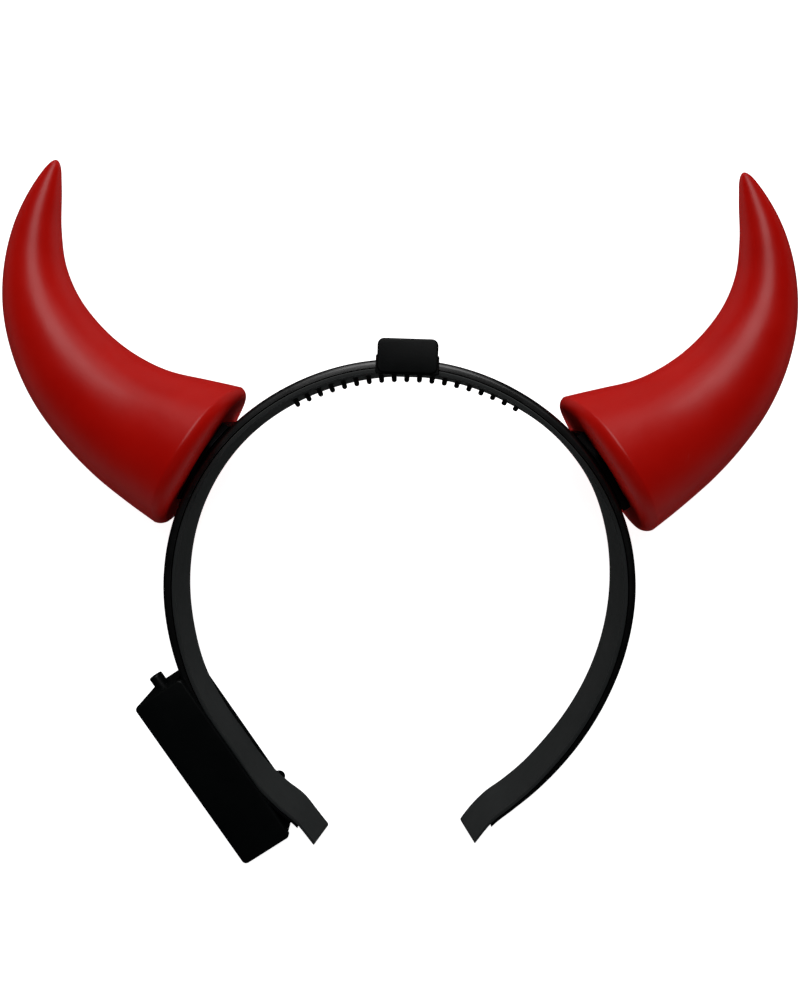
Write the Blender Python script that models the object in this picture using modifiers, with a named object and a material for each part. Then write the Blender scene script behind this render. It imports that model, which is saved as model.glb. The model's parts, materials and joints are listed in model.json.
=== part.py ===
"""Devil horns headband: an open plastic band with two hollow horns, a top housing and a battery case.

The band is modelled in its own plane: X to the right, Y toward the top of the head and Z toward
the front, about the centre of the ring. Angles run clockwise from the top. At the end the whole
headband is tilted and lifted so that it lies on its back as it would by itself, on both horns
and the lower corner of the battery case.
Units are metres and degrees.
"""

import math

import bmesh
import bpy
import numpy as np
from mathutils import Matrix, Vector

COLLECTION_NAME = "devil_horns_headband"

CLEARANCE = 0.0003

# Band: radius of its inner face at the sides, depth from front to back, and wall from face to face
BAND_RADIUS = 0.0685
BAND_DEPTH = 0.020
BAND_THICKNESS = 0.0040
STRIP_THICKNESS = 0.0012
STRIP_CHAMFER = 0.00025
COVER_WALL = 0.0011
COVER_CROWN = 0.00045
COVER_ROUND = 0.0006
COVER_END_ANGLE = 158.0
CHANNEL_END_ANGLE = 116.0
FOOT_FRONT_ANGLE = 162.6
FOOT_BACK_ANGLE = 165.0
STATION_STEP = 6.0
FOOT_STEPS = 4

# Band sections: angle in degrees, inner radius as a share of BAND_RADIUS, thickness as a share of
# BAND_THICKNESS, twist in degrees, which sets the back edge further out than the front edge
BAND_COLUMNS = ("angle", "radius", "thickness", "twist")
BAND_SECTIONS = (
    (-166.0, 1.288, 0.52, 0.0),
    (-162.0, 1.226, 0.52, 0.0),
    (-158.0, 1.173, 0.52, 0.0),
    (-152.0, 1.140, 0.56, 1.0),
    (-144.0, 1.102, 0.62, 2.0),
    (-136.0, 1.061, 0.70, 3.0),
    (-126.0, 1.039, 0.80, 3.2),
    (-116.0, 1.027, 0.88, 3.0),
    (-104.0, 1.012, 0.96, 1.5),
    (-88.0, 1.004, 1.00, 0.0),
    (-70.0, 0.9995, 1.00, -0.6),
    (-51.0, 0.992, 0.97, -1.1),
    (-30.0, 0.978, 0.95, -2.7),
    (-16.0, 0.972, 0.95, -3.5),
    (0.0, 0.971, 0.95, -2.6),
    (28.0, 0.9775, 0.98, 0.9),
    (48.0, 0.9935, 0.97, 4.7),
    (61.0, 1.003, 0.94, 4.4),
    (75.0, 1.004, 0.94, 1.5),
    (88.0, 1.003, 0.94, 0.0),
    (104.0, 1.006, 0.89, 0.0),
    (116.0, 1.015, 0.85, 0.5),
    (128.0, 1.033, 0.81, 0.5),
    (138.0, 1.057, 0.76, 0.5),
    (146.0, 1.086, 0.64, 0.5),
    (152.0, 1.110, 0.56, 0.0),
    (158.0, 1.142, 0.56, -1.5),
    (162.0, 1.191, 0.56, -4.0),
    (166.0, 1.260, 0.56, -5.0),
)

# Comb pegs and top housing, both set round the same angle of the band
TOP_ANGLE = 0.75
PEG_COUNT = 19
PEG_SPACING_ANGLE = 3.40
PEG_RADIUS = 0.00082
PEG_LENGTH = 0.0027
PEG_FORWARD = 0.003
PEG_SIDES = 8
# Height as a share of PEG_LENGTH and radius as a share of PEG_RADIUS; the root is inside the strip
PEG_SECTIONS = ((-0.30, 1.10), (0.0, 1.10), (0.55, 0.95), (0.85, 0.66))

HOUSING_WIDTH = 0.0181
HOUSING_RISE = 0.0063
HOUSING_SKIRT = 0.0002
HOUSING_CHEEK = 0.0017
HOUSING_CORNER = 0.0020
HOUSING_EDGE = 0.0005
COLLAR_STEP = 0.0004
COLLAR_RISE = 0.0015
COLLAR_INSET = 0.0003
NOTCH_LEFT = 0.0067
NOTCH_RIGHT = 0.0025
NOTCH_HEIGHT = 0.0023
NOTCH_DEPTH = 0.0004

# Horns: the flat base stands off from the crown of the band at the horn's angle. The right horn's
# reach and rise are this share of the left horn's.
HORN_ANGLE = 57.7
HORN_MIDDLE_ANGLE = 0.25
HORN_LEAN = 1.75
HORN_TOE_IN = 0.3
HORN_STANDOFF = 0.0006
HORN_BASE_RADIUS = 0.0252
HORN_REACH = 0.0843
HORN_RISE = 0.0537
HORN_RIGHT_SHARE = 0.982
HORN_WALL = 0.0020
HORN_EDGE = 0.0024
HORN_SIDES = 28
HORN_STEPS = 24
HORN_INNER_STEPS = 13
HORN_EDGE_STEPS = 3

# Horn sections: distance past the rounded base edge as a share of the rest of HORN_REACH, sideways
# place as a share of HORN_RISE, radius as a share of HORN_BASE_RADIUS, heading in degrees
HORN_COLUMNS = ("along", "across", "radius", "heading")
HORN_SECTIONS = (
    (0.000, 0.000, 1.000, 0.0),
    (0.130, -0.032, 0.898, 0.0),
    (0.263, -0.050, 0.800, 3.0),
    (0.409, -0.028, 0.711, 10.5),
    (0.550, 0.031, 0.631, 21.0),
    (0.679, 0.129, 0.544, 32.0),
    (0.793, 0.266, 0.448, 45.0),
    (0.881, 0.439, 0.353, 59.0),
    (0.942, 0.640, 0.266, 70.0),
    (0.980, 0.852, 0.160, 77.0),
    (0.997, 0.970, 0.080, 78.0),
)

# Horn mounts: a plate on the band, a neck through the horn's base and a flange inside the horn
MOUNT_NECK_RADIUS = 0.0112
MOUNT_NECK_PLAY = 0.0004
MOUNT_TAB = 0.0023
MOUNT_TAB_INSET = 0.0005
MOUNT_GRIP = 0.0012
MOUNT_FLANGE_THICKNESS = 0.0015
MOUNT_SIDES = 32

# Battery case: its flat inner side stands this far short of the band's inner face
CASE_ANGLE = -124.4
CASE_SHORTFALL = 0.0002
CASE_LENGTH = 0.0607
CASE_UPPER_REACH = 0.0148
CASE_THICKNESS = 0.0174
CASE_CHEEK = 0.0017
CASE_CORNER = 0.0015
CASE_EDGE = 0.0006
CASE_WALL = 0.0015
CASE_FLOOR = 0.0008
SADDLE_RISE = 0.0085
SADDLE_INSET = 0.0005
CLIP_LUG_RADIUS = 0.0020
CLIP_LUG_PLACE = 0.0118
BAY_SIDE_WALL = 0.0013
BAY_END_WALL = 0.0042
COVER_PLATE_THICKNESS = 0.0011
COVER_PLATE_LEDGE = 0.0022

# Push button: it slides in through the case's upper end, and its flange moves in a small pocket. Its
# place is the distance of its axis from the case's inner side.
BUTTON_PLACE = 0.0105
BUTTON_RADIUS = 0.00220
BUTTON_PROUD = 0.0040
BUTTON_TRAVEL = 0.0012
BUTTON_EDGE = 0.0004
BUTTON_FLANGE_STEP = 0.00055
BUTTON_FLANGE_THICKNESS = 0.0012
BUTTON_SIDES = 20

BLACK = (0.0045, 0.0048, 0.0050)
BLACK_GREY = (0.0120, 0.0135, 0.0138)
HORN_RED = (0.2900, 0.0095, 0.0075)


def clear_scene():
    """Removes every object that the file opened with."""
    for item in list(bpy.data.objects):
        bpy.data.objects.remove(item, do_unlink=True)


def plastic(name, colour, roughness):
    """A moulded plastic with its own colour and roughness."""
    material = bpy.data.materials.new(name)
    material.use_nodes = True
    shader = material.node_tree.nodes["Principled BSDF"]
    shader.inputs["Base Color"].default_value = (*colour, 1.0)
    shader.inputs["Roughness"].default_value = roughness
    shader.inputs["Metallic"].default_value = 0.0
    material.diffuse_color = (*colour, 1.0)
    return material


def smooth_curve(places, values, wanted):
    """Values at the wanted places on the cubic that runs smoothly through the given ones."""
    places = np.asarray(places, float)
    values = np.asarray(values, float)
    slopes = np.gradient(values, places)
    wanted = np.clip(wanted, places[0], places[-1])
    index = np.clip(np.searchsorted(places, wanted) - 1, 0, len(places) - 2)
    span = places[index + 1] - places[index]
    t = (wanted - places[index]) / span
    start = (2 * t**3 - 3 * t**2 + 1) * values[index] + (t**3 - 2 * t**2 + t) * span * slopes[index]
    end = (3 * t**2 - 2 * t**3) * values[index + 1] + (t**3 - t**2) * span * slopes[index + 1]
    return start + end


def column(table, columns, name):
    """One named column of a section table."""
    return [row[columns.index(name)] for row in table]


def band_shape(angle):
    """Inner radius, thickness and twist in radians of the band at an angle from the top."""
    angles = column(BAND_SECTIONS, BAND_COLUMNS, "angle")
    shares = {name: float(smooth_curve(angles, column(BAND_SECTIONS, BAND_COLUMNS, name), angle))
              for name in BAND_COLUMNS[1:]}
    radius = shares["radius"] * BAND_RADIUS
    thickness = shares["thickness"] * BAND_THICKNESS
    return radius, thickness, math.radians(shares["twist"])


def band_point(angle, height, forward):
    """A point of the band, by its height over the inner face and its place from back to front."""
    radius, thickness, twist = band_shape(angle)
    rise = height - thickness / 2
    radial = radius + thickness / 2 + rise * math.cos(twist) - forward * math.sin(twist)
    depth = forward * math.cos(twist) + rise * math.sin(twist)
    turn = math.radians(angle)
    return Vector((radial * math.sin(turn), radial * math.cos(turn), depth))


def seat_frame(angle, radius, lean=0.0):
    """A frame on the ring: X along it clockwise, Y outward, Z to the front, turned by a lean."""
    turn = math.radians(angle)
    outward = Vector((math.sin(turn), math.cos(turn), 0.0)) * radius
    return Matrix.Translation(outward) @ Matrix.Rotation(math.radians(lean) - turn, 4, "Z")


def crown_radius(angle):
    """Distance from the ring's centre to the band's crown."""
    radius, thickness, _ = band_shape(angle)
    return radius + thickness + COVER_CROWN


def horn_frame(side):
    """Seat frame of a horn: its origin is in the middle of the flat base."""
    angle = HORN_MIDDLE_ANGLE + side * HORN_ANGLE
    return seat_frame(angle, crown_radius(angle) + HORN_STANDOFF, HORN_LEAN + side * HORN_TOE_IN)


def case_frame():
    """Frame of the battery case: X along it toward its upper end, Y outward from its inner side."""
    return seat_frame(CASE_ANGLE, band_shape(CASE_ANGLE)[0] + CASE_SHORTFALL)


def add_object(name, mesh, group, frame=Matrix()):
    """Links a mesh as an object placed by a frame on the ring."""
    item = bpy.data.objects.new(name, mesh)
    item.matrix_world = frame
    group.objects.link(item)
    return item


def mesh_from(work, name):
    """Turns a bmesh into a mesh with its faces pointing out."""
    bmesh.ops.recalc_face_normals(work, faces=work.faces)
    mesh = bpy.data.meshes.new(name)
    work.to_mesh(mesh)
    work.free()
    return mesh


def loft(name, rings, poles=(None, None)):
    """A closed mesh through like-numbered rings, ended by a pole point or a flat cap."""
    work = bmesh.new()
    loops = [[work.verts.new(point) for point in ring] for ring in rings]
    for near, far in zip(loops, loops[1:]):
        for index in range(len(near)):
            after = (index + 1) % len(near)
            work.faces.new((near[index], near[after], far[after], far[index]))
    for loop, pole in ((loops[0], poles[0]), (loops[-1], poles[1])):
        if pole is None:
            work.faces.new(loop)
            continue
        point = work.verts.new(pole)
        for index in range(len(loop)):
            work.faces.new((loop[index], loop[(index + 1) % len(loop)], point))
    return mesh_from(work, name)


def block(name, low, high, group, frame=Matrix()):
    """A box between two corners of its own frame."""
    work = bmesh.new()
    bmesh.ops.create_cube(work, size=1.0)
    low, high = Vector(low), Vector(high)
    middle = (low + high) / 2
    size = high - low
    for vertex in work.verts:
        vertex.co = middle + Vector(a * b for a, b in zip(vertex.co, size))
    return add_object(name, mesh_from(work, name), group, frame)


def round_corners(item, radius, segments):
    """Rounds the four edges of a box that run from back to front."""
    work = bmesh.new()
    work.from_mesh(item.data)
    upright = [edge for edge in work.edges
               if abs((edge.verts[0].co - edge.verts[1].co).normalized().z) > 0.99]
    bmesh.ops.bevel(work, geom=upright, offset=radius, segments=segments, profile=0.5, affect="EDGES")
    work.to_mesh(item.data)
    work.free()


def soften_edges(item, width, segments=1):
    """Bevels the sharp edges that are left."""
    bevel = item.modifiers.new("soft edges", "BEVEL")
    bevel.width = width
    bevel.segments = segments
    bevel.limit_method = "ANGLE"
    bevel.angle_limit = math.radians(50.0)


def turned(name, profile, sides, group, frame):
    """A turned solid about its own Y axis, from rows of height and radius, closed at both ends."""
    rings = []
    for height, radius in profile:
        rings.append([Vector((radius * math.cos(2 * math.pi * step / sides), height,
                              radius * math.sin(2 * math.pi * step / sides)))
                      for step in range(sides)])
    return add_object(name, loft(name, rings), group, frame)


def combine(item, other, operation):
    """Adds a Boolean to an object with another that isn't itself kept."""
    modifier = item.modifiers.new(operation.lower() + " " + other.name, "BOOLEAN")
    modifier.operation = operation
    modifier.solver = "EXACT"
    modifier.object = other


def finish(item, material, smooth_angle=35.0):
    """Gives a piece its material and smooth round faces."""
    item.data.materials.clear()
    item.data.materials.append(material)
    item.data.shade_smooth()
    item.data.set_sharp_from_angle(angle=math.radians(smooth_angle))


def stations(last_angle):
    """Evenly spaced angles from one side of the band to the other."""
    count = 2 * math.ceil(last_angle / STATION_STEP) + 1
    return [float(angle) for angle in np.linspace(-last_angle, last_angle, count)]


def cover_profile(angle, floor, grow=0.0, crown=COVER_CROWN):
    """Section of the outer cover: a floor height, side walls, rounded shoulders and a crown."""
    top = band_shape(angle)[1] + grow
    half = BAND_DEPTH / 2 + grow
    bend = min(COVER_ROUND, 0.6 * (top - grow - STRIP_THICKNESS - CLEARANCE))
    side = [(half, floor), (half, top - bend), (half - 0.3 * bend, top - 0.3 * bend)]
    for share in (1.0, 0.5):
        side.append(((half - bend) * share, top + crown * (1 - share**2)))
    back = [(-forward, height) for forward, height in reversed(side)]
    return side + [(0.0, top + crown)] + back


def make_outer_band(parts, cutters, material):
    """The outer cover: a crowned channel that is open toward the inner strip."""
    floor = STRIP_THICKNESS + CLEARANCE
    rings = [[band_point(angle, height, forward) for forward, height in cover_profile(angle, floor)]
             for angle in stations(COVER_END_ANGLE)]
    item = add_object("outer_band", loft("outer_band", rings), parts)
    half = BAND_DEPTH / 2 - COVER_WALL
    rings = []
    for angle in stations(CHANNEL_END_ANGLE):
        roof = band_shape(angle)[1] - COVER_WALL
        corners = ((half, 0.0), (half, roof), (0.0, roof + COVER_CROWN), (-half, roof), (-half, 0.0))
        rings.append([band_point(angle, height, forward) for forward, height in corners])
    combine(item, add_object("band_channel", loft("band_channel", rings), cutters), "DIFFERENCE")
    finish(item, material)
    return item


def strip_angles(forward):
    """Angles of the strip's sections, whose flared feet end on a slant from back to front."""
    share = forward / BAND_DEPTH + 0.5
    end = FOOT_BACK_ANGLE + (FOOT_FRONT_ANGLE - FOOT_BACK_ANGLE) * share
    foot = [COVER_END_ANGLE + (end - COVER_END_ANGLE) * step / FOOT_STEPS
            for step in range(1, FOOT_STEPS + 1)]
    return [-angle for angle in reversed(foot)] + stations(COVER_END_ANGLE) + foot


def make_inner_band(parts, cutters, material):
    """The inner strip with its flared feet and a row of comb pegs."""
    half, chamfer, top = BAND_DEPTH / 2, STRIP_CHAMFER, STRIP_THICKNESS
    quarter = [(half - chamfer, 0.0), (half, chamfer), (half, top - chamfer), (half - chamfer, top)]
    profile = quarter + [(-forward, height) for forward, height in reversed(quarter)]
    lines = [[band_point(angle, height, forward) for angle in strip_angles(forward)]
             for forward, height in profile]
    item = add_object("inner_band", loft("inner_band", list(zip(*lines))), parts)
    for number in range(PEG_COUNT):
        angle = TOP_ANGLE + (number - (PEG_COUNT - 1) / 2) * PEG_SPACING_ANGLE
        combine(item, make_peg(number, angle, cutters), "UNION")
    finish(item, material)
    return item


def make_peg(number, angle, cutters):
    """One round-ended comb peg, rooted in the strip and pointing to the ring's centre."""
    root = band_point(angle, 0.0, PEG_FORWARD)
    frame = seat_frame(angle, root.xy.length)
    frame.translation.z = root.z
    rings = []
    for height_share, radius_share in PEG_SECTIONS:
        height, radius = -height_share * PEG_LENGTH, radius_share * PEG_RADIUS
        rings.append([frame @ Vector((radius * math.cos(2 * math.pi * step / PEG_SIDES), height,
                                      radius * math.sin(2 * math.pi * step / PEG_SIDES)))
                      for step in range(PEG_SIDES)])
    tip = frame @ Vector((0.0, -PEG_LENGTH, 0.0))
    name = "peg_%02d" % number
    return add_object(name, loft(name, rings, (None, tip)), cutters)


def clearance_end():
    """Angle at which the room for the band ends, a little past the outer cover."""
    return COVER_END_ANGLE + STATION_STEP / 2


def make_band_clearance(cutters):
    """The room that the band needs: its section grown by the clearance and deepened inward."""
    depth_inward = -BAND_RADIUS / 4
    rings = [[band_point(angle, height, forward)
              for forward, height in cover_profile(angle, depth_inward, CLEARANCE)]
             for angle in stations(clearance_end())]
    return add_object("band_clearance", loft("band_clearance", rings), cutters)


def make_top_housing(parts, cutters, band_clearance, material):
    """The small box on top of the band, with cheeks and a slightly wider collar that straddle it."""
    frame = seat_frame(TOP_ANGLE, 0.0)
    inner, thickness, _ = band_shape(TOP_ANGLE)
    half = HOUSING_WIDTH / 2
    half_depth = BAND_DEPTH / 2 + CLEARANCE + HOUSING_CHEEK
    low = inner - HOUSING_SKIRT
    item = block("top_housing", (-half, low, -half_depth),
                 (half, inner + thickness + HOUSING_RISE, half_depth), parts, frame)
    round_corners(item, HOUSING_CORNER, 3)
    soften_edges(item, HOUSING_EDGE)
    wide, deep = half + COLLAR_STEP, half_depth - COLLAR_INSET
    collar = block("housing_collar", (-wide, low - COLLAR_INSET, -deep),
                   (wide, inner + thickness + COLLAR_RISE, deep), cutters, frame)
    round_corners(collar, HOUSING_EDGE, 1)
    combine(item, collar, "UNION")
    notch = block("housing_notch", (-NOTCH_LEFT, 0.0, half_depth - NOTCH_DEPTH),
                  (NOTCH_RIGHT, low + NOTCH_HEIGHT, 2 * half_depth), cutters, frame)
    combine(item, notch, "DIFFERENCE")
    combine(item, band_clearance, "DIFFERENCE")
    finish(item, material)
    return item


def horn_size(side):
    """Reach and rise of a horn; side is 1 for the right and -1 for the left."""
    share = HORN_RIGHT_SHARE if side > 0 else 1.0
    return share * HORN_REACH, share * HORN_RISE


def horn_sections(count, side):
    """Evenly spaced horn sections after the base edge: along, across, radius and heading."""
    reach, rise = horn_size(side)
    share = np.array(column(HORN_SECTIONS, HORN_COLUMNS, "along"))
    along = HORN_EDGE + share * (reach - HORN_EDGE)
    across = np.array(column(HORN_SECTIONS, HORN_COLUMNS, "across")) * rise
    radius = np.array(column(HORN_SECTIONS, HORN_COLUMNS, "radius")) * HORN_BASE_RADIUS
    heading = column(HORN_SECTIONS, HORN_COLUMNS, "heading")
    run = np.concatenate([[0.0], np.cumsum(np.hypot(np.diff(along), np.diff(across)))])
    wanted = run[-1] * np.linspace(0.0, 1.0, count)
    return np.column_stack([smooth_curve(run, values, wanted)
                            for values in (along, across, radius, heading)])


def horn_ring(along, across, radius, heading, side):
    """One round section of a horn in its seat frame."""
    turn = math.radians(heading)
    ring = []
    for step in range(HORN_SIDES):
        angle = 2 * math.pi * step / HORN_SIDES
        offset = radius * math.cos(angle)
        ring.append(Vector((-side * (across + offset * math.cos(turn)),
                            along - offset * math.sin(turn), radius * math.sin(angle))))
    return ring


def make_horn(name, side, parts, material):
    """A hollow curved horn with an in-turned flat base that has a round hole."""
    hole = MOUNT_NECK_RADIUS + MOUNT_NECK_PLAY
    outside = [(0.0, 0.0, hole, 0.0)]
    for step in range(HORN_EDGE_STEPS):
        bend = math.pi / 2 * step / HORN_EDGE_STEPS
        outside.append((HORN_EDGE * (1 - math.cos(bend)), 0.0,
                        HORN_BASE_RADIUS - HORN_EDGE * (1 - math.sin(bend)), 0.0))
    outside += [tuple(row) for row in horn_sections(HORN_STEPS, side)]
    inside = [(HORN_WALL, 0.0, hole, 0.0),
              (HORN_WALL, 0.0, HORN_BASE_RADIUS - HORN_EDGE, 0.0)]
    for along, across, radius, heading in horn_sections(HORN_INNER_STEPS, side):
        if radius > 2 * HORN_WALL:
            inside.append((max(along, HORN_WALL + HORN_EDGE / 2), across, radius - HORN_WALL, heading))
    end = HORN_SECTIONS[-1]
    heading = math.radians(end[HORN_COLUMNS.index("heading")])
    reach, rise = horn_size(side)
    tip = Vector((-side * rise, reach, 0.0))
    along, across, radius, _ = inside[-1]
    hollow_end = Vector((-side * (across + radius * math.sin(heading)),
                         along + radius * math.cos(heading), 0.0))
    rings = [horn_ring(*row, side) for row in list(reversed(inside)) + outside]
    item = add_object(name, loft(name, rings, (hollow_end, tip)), parts, horn_frame(side))
    finish(item, material)
    return item


def make_horn_mount(name, side, parts, cutters, band_clearance, material):
    """The horn's seat: a plate on the band, a neck through the horn's base and a round flange."""
    frame = horn_frame(side)
    root = -2 * BAND_THICKNESS
    half_length, half_width = MOUNT_NECK_RADIUS + MOUNT_TAB, BAND_DEPTH / 2 - MOUNT_TAB_INSET
    item = block(name, (-half_length, root, -half_width), (half_length, -CLEARANCE, half_width),
                 parts, frame)
    flange = MOUNT_NECK_RADIUS + MOUNT_NECK_PLAY + MOUNT_GRIP
    flange_low = HORN_WALL + CLEARANCE
    neck_low = -(HORN_STANDOFF + COVER_CROWN)
    profile = ((neck_low, MOUNT_NECK_RADIUS), (flange_low, MOUNT_NECK_RADIUS),
               (flange_low, flange), (flange_low + MOUNT_FLANGE_THICKNESS, flange))
    neck = turned(name + "_neck", profile, MOUNT_SIDES, cutters, frame)
    combine(item, neck, "UNION")
    combine(item, band_clearance, "DIFFERENCE")
    finish(item, material)
    return item


def band_reach(low, high):
    """How far the band and its clearance reach into the case between two places along it."""
    to_case = case_frame().inverted()
    reach = 0.0
    for angle in np.arange(CASE_ANGLE - 60.0, CASE_ANGLE + 60.0, 0.5):
        for forward, height in cover_profile(float(angle), 0.0, CLEARANCE):
            place = to_case @ band_point(float(angle), height, forward)
            if low <= place.x <= high:
                reach = max(reach, place.y)
    return reach


def case_sizes():
    """Places in the case's frame that several of its pieces share."""
    sizes = {"top": CASE_UPPER_REACH, "low": CASE_UPPER_REACH - CASE_LENGTH}
    sizes["half_depth"] = BAND_DEPTH / 2 + CLEARANCE + CASE_CHEEK
    sizes["pocket_top"] = sizes["top"] - CASE_WALL
    sizes["pocket_low"] = sizes["pocket_top"] - BUTTON_FLANGE_THICKNESS - BUTTON_TRAVEL - 3 * CLEARANCE
    sizes["pocket_half"] = BUTTON_RADIUS + BUTTON_FLANGE_STEP + CLEARANCE
    reach = band_reach(sizes["pocket_low"], sizes["pocket_top"])
    sizes["button_place"] = max(BUTTON_PLACE, reach + CASE_FLOOR + sizes["pocket_half"])
    sizes["bay_top"] = sizes["pocket_low"] - CASE_WALL
    sizes["bay_low"] = sizes["low"] + BAY_END_WALL
    sizes["bay_floor"] = band_reach(sizes["bay_low"], sizes["bay_top"]) + CASE_FLOOR
    sizes["bay_half"] = sizes["half_depth"] - BAY_SIDE_WALL
    sizes["cover_seat"] = CASE_THICKNESS - COVER_PLATE_THICKNESS - CLEARANCE
    return sizes


def saddle_end(low):
    """Lower end of the saddle, within the case and within the reach of the band's clearance."""
    turn = math.radians(clearance_end() + CASE_ANGLE)
    seat_radius = case_frame().translation.length
    return max(low, -(seat_radius - SADDLE_RISE) * math.tan(turn)) + CLEARANCE


def make_battery_case(parts, cutters, band_clearance, material):
    """The battery case: a box with cheeks and a saddle for the band, a cell bay and a switch pocket."""
    frame = case_frame()
    sizes = case_sizes()
    half_depth, low, top = sizes["half_depth"], sizes["low"], sizes["top"]
    item = block("battery_case", (low, 0.0, -half_depth), (top, CASE_THICKNESS, half_depth), parts, frame)
    round_corners(item, CASE_CORNER, 3)
    soften_edges(item, CASE_EDGE)

    saddle_half = BAND_DEPTH / 2 - SADDLE_INSET
    saddle = block("case_saddle", (saddle_end(low), -SADDLE_RISE, -saddle_half),
                   (0.0, 2 * CASE_CORNER, saddle_half), cutters, frame)
    combine(item, saddle, "UNION")
    place = Matrix.Translation((low + CLIP_LUG_PLACE, 0.0, CASE_CHEEK - half_depth))
    lug = turned("case_clip_lug", ((0.0, CLIP_LUG_RADIUS), (CASE_CHEEK - CASE_EDGE, CLIP_LUG_RADIUS)),
                 16, cutters, frame @ place @ Matrix.Rotation(math.radians(-90.0), 4, "X"))
    combine(item, lug, "UNION")
    combine(item, band_clearance, "DIFFERENCE")

    bay_half = sizes["bay_half"]
    bay = block("cell_bay", (sizes["bay_low"], sizes["bay_floor"], -bay_half),
                (sizes["bay_top"], 2 * CASE_THICKNESS, bay_half), cutters, frame)
    combine(item, bay, "DIFFERENCE")
    recess_half = bay_half + CLEARANCE
    recess = block("cover_recess",
                   (sizes["bay_low"] - COVER_PLATE_LEDGE, sizes["cover_seat"], -recess_half),
                   (sizes["bay_top"] + COVER_PLATE_LEDGE, 2 * CASE_THICKNESS, recess_half), cutters, frame)
    combine(item, recess, "DIFFERENCE")
    pocket_half, middle = sizes["pocket_half"], sizes["button_place"]
    pocket = block("switch_pocket", (sizes["pocket_low"], middle - pocket_half, -pocket_half),
                   (sizes["pocket_top"], middle + pocket_half, pocket_half), cutters, frame)
    combine(item, pocket, "DIFFERENCE")
    passage = BUTTON_RADIUS + CLEARANCE
    hole = turned("button_hole", ((-CASE_WALL - CLEARANCE, passage), (BUTTON_PROUD, passage)),
                  BUTTON_SIDES, cutters, button_frame())
    combine(item, hole, "DIFFERENCE")
    finish(item, material)
    return item


def button_frame():
    """Frame of the push button: its Y axis runs out of the case's upper end."""
    sizes = case_sizes()
    place = Matrix.Translation((sizes["top"], sizes["button_place"], 0.0))
    return case_frame() @ place @ Matrix.Rotation(math.radians(-90.0), 4, "Z")


def make_battery_cover(parts, material):
    """The flat cover of the cell bay, flush with the case's outer side."""
    sizes = case_sizes()
    margin = COVER_PLATE_LEDGE - CLEARANCE
    item = block("battery_cover",
                 (sizes["bay_low"] - margin, sizes["cover_seat"] + CLEARANCE, -sizes["bay_half"]),
                 (sizes["bay_top"] + margin, CASE_THICKNESS, sizes["bay_half"]), parts, case_frame())
    finish(item, material)
    return item


def make_push_button(parts, material):
    """The round push button with the flange that keeps it inside the case."""
    flange = BUTTON_RADIUS + BUTTON_FLANGE_STEP
    flange_top = -CASE_WALL - CLEARANCE
    profile = ((flange_top - BUTTON_FLANGE_THICKNESS, flange), (flange_top, flange),
               (flange_top, BUTTON_RADIUS), (BUTTON_PROUD - BUTTON_EDGE, BUTTON_RADIUS),
               (BUTTON_PROUD, BUTTON_RADIUS - BUTTON_EDGE))
    item = turned("push_button", profile, BUTTON_SIDES, parts, button_frame())
    finish(item, material)
    return item


def finished_points(items):
    """Every corner of the finished meshes, in the band's frame."""
    graph = bpy.context.evaluated_depsgraph_get()
    points = []
    for item in items:
        result = item.evaluated_get(graph)
        mesh = result.to_mesh()
        points += [item.matrix_world @ vertex.co for vertex in mesh.vertices]
        result.to_mesh_clear()
    return np.array(points)


def lowest(points, tilt):
    """Height of the lowest point once the top of the band is raised by a tilt."""
    return float(np.min(points[:, 1] * math.sin(tilt) + points[:, 2] * math.cos(tilt)))


def lying_frame(items, horns, case):
    """The tilt at which both horns and the case touch the ground, with the box centred over the origin."""
    horn_points, case_points = finished_points(horns), finished_points([case])
    low, high = 0.0, math.radians(30.0)
    while high - low > 1e-7:
        middle = (low + high) / 2
        if lowest(horn_points, middle) < lowest(case_points, middle):
            low = middle
        else:
            high = middle
    turn = Matrix.Rotation(low, 4, "X")
    points = finished_points(items) @ np.array(turn.to_3x3()).T
    corner_low, corner_high = points.min(axis=0), points.max(axis=0)
    centre = (corner_low + corner_high) / 2
    return Matrix.Translation((-centre[0], -centre[1], -corner_low[2])) @ turn


def main():
    """Builds every piece in the band's frame and lays the headband on its back."""
    clear_scene()
    parts = bpy.data.collections.new(COLLECTION_NAME)
    cutters = bpy.data.collections.new("cutters")
    for group in (parts, cutters):
        bpy.context.scene.collection.children.link(group)

    cover_black = plastic("cover black plastic", BLACK, 0.22)
    strip_black = plastic("strip black plastic", BLACK_GREY, 0.42)
    case_black = plastic("case black plastic", BLACK, 0.38)
    button_black = plastic("button black plastic", BLACK_GREY, 0.35)
    horn_red = plastic("horn red vinyl", HORN_RED, 0.42)

    clearance = make_band_clearance(cutters)
    case = make_battery_case(parts, cutters, clearance, case_black)
    horns = [make_horn("horn_right", 1, parts, horn_red), make_horn("horn_left", -1, parts, horn_red)]
    items = horns + [
        case,
        make_outer_band(parts, cutters, cover_black),
        make_inner_band(parts, cutters, strip_black),
        make_top_housing(parts, cutters, clearance, case_black),
        make_horn_mount("horn_mount_right", 1, parts, cutters, clearance, cover_black),
        make_horn_mount("horn_mount_left", -1, parts, cutters, clearance, cover_black),
        make_battery_cover(parts, case_black),
        make_push_button(parts, button_black),
    ]
    for cutter in cutters.objects:
        cutter.hide_render = True
        cutter.display_type = "WIRE"

    bpy.context.view_layer.update()
    lying = bpy.data.objects.new("lying_pose", None)
    parts.objects.link(lying)
    for item in items + list(cutters.objects):
        item.parent = lying
    lying.matrix_world = lying_frame(items, horns, case)
    bpy.context.view_layer.update()


main()
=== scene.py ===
"""Looks of the devil horns headband: moulded surfaces, plastics, stage, light and camera.

Every surface is worked out in the band's own plane, with x to the right, y toward the crown and z
toward the front, about the centre of the ring, and then turned into the frame. Angles run clockwise
from the crown. Lengths are in metres.
"""

import json
import math

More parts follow.
